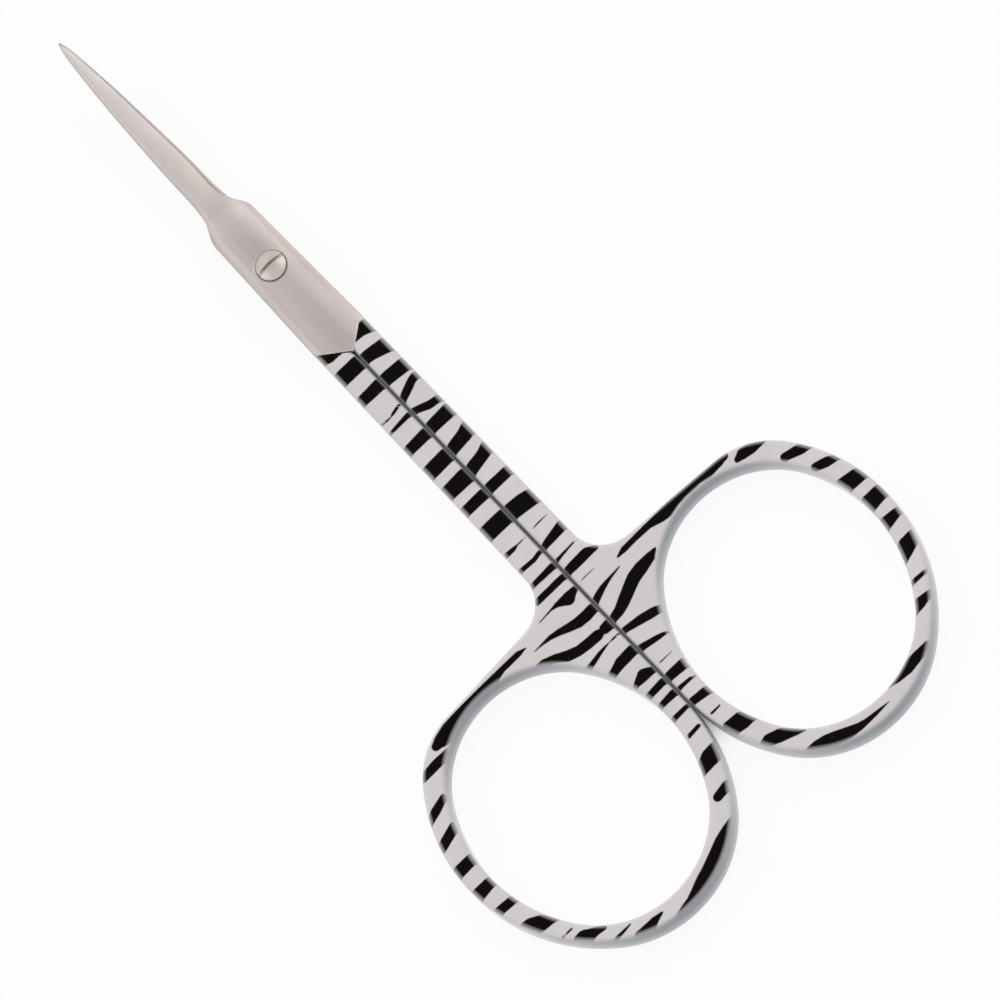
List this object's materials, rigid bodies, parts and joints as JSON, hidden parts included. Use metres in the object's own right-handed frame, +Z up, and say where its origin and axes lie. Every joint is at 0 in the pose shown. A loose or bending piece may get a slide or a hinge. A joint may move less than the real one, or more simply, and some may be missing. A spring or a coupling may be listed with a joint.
{
  "type": "cuticle scissors",
  "caption": "Slim cuticle scissors with upturned, tapering blades, a slotted pivot screw and oval finger rings in a zebra-striped lacquer.",
  "frame": {"origin": "on the pivot screw's axis, at the flat underside of the lap joint", "axes": "+X along the scissors towards the blade tips, +Y to the side of the lower half's finger ring, +Z up along the pivot's axis, the way the blades curve"},
  "size_m": [0.1004, 0.0504, 0.0059],
  "materials": {
    "blade_steel": "satin ground stainless steel",
    "screw_steel": "polished steel",
    "printed_lacquer": "glossy white lacquer with black zebra stripes"
  },
  "bodies": {
    "lower": {"lower_half": "blade_steel", "pivot_screw": "screw_steel", "lower_handle_coat": "printed_lacquer"},
    "upper": {"upper_half": "blade_steel", "upper_handle_coat": "printed_lacquer"}
  },
  "joints": [
    {"name": "pivot", "type": "hinge", "parent": "lower", "child": "upper", "pos_m": [0, 0, 0], "axis": [0, 0, 1], "range_deg": [0, 90]}
  ]
}
